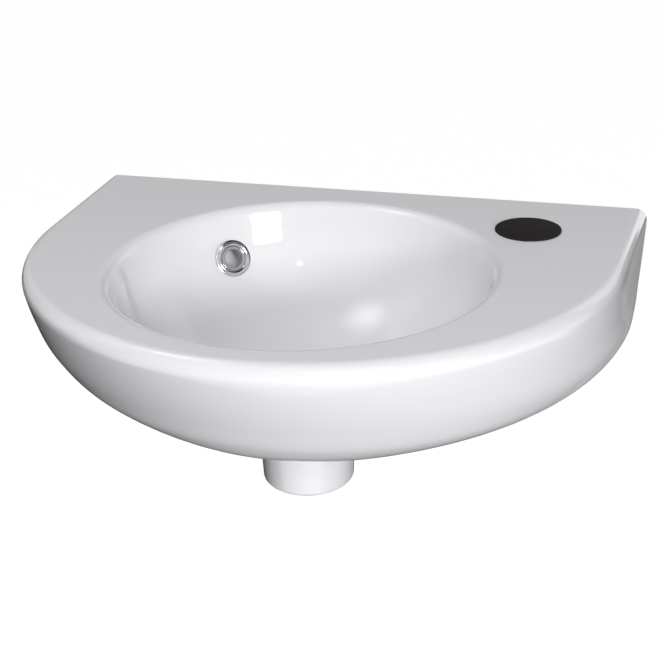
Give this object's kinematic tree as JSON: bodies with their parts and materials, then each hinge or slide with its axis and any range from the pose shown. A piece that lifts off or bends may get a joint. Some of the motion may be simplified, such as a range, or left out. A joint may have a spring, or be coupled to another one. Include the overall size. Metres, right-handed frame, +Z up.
{
  "type": "wall-hung basin",
  "caption": "Small wall-hung wash basin with a flat wall side, bowed front, round bowl, outlet boss, chrome overflow ring, black tap hole plug and wall fixings.",
  "frame": {"origin": "on the wall plane, midway between the two wall fixings", "axes": "+X along the wall to the viewer's right, +Y into the wall, +Z up; the basin's front faces -Y"},
  "size_m": [0.4496, 0.3918, 0.1686],
  "materials": {
    "glazed_ceramic": "white gloss glaze",
    "polished_chrome": "polished plating",
    "grey_plastic": "satin moulding",
    "seal_rubber": "matt rubber",
    "black_plastic": "flat black moulding",
    "zinc_steel": "bright zinc plating",
    "white_nylon": "satin moulding"
  },
  "bodies": {
    "basin": {"basin_body": "glazed_ceramic", "overflow_bezel": "polished_chrome", "overflow_sleeve": "grey_plastic", "overflow_seal": "seal_rubber", "hanger_bolts": "zinc_steel", "fixing_bushes": "white_nylon", "fixing_washers": "zinc_steel", "fixing_nuts": "zinc_steel"},
    "plug": {"tap_hole_plug": "black_plastic"}
  },
  "joints": [
    {"name": "plug_lift", "type": "slide", "parent": "basin", "child": "plug", "axis": [0, 0, 1], "range_m": [0, 0.15]}
  ]
}
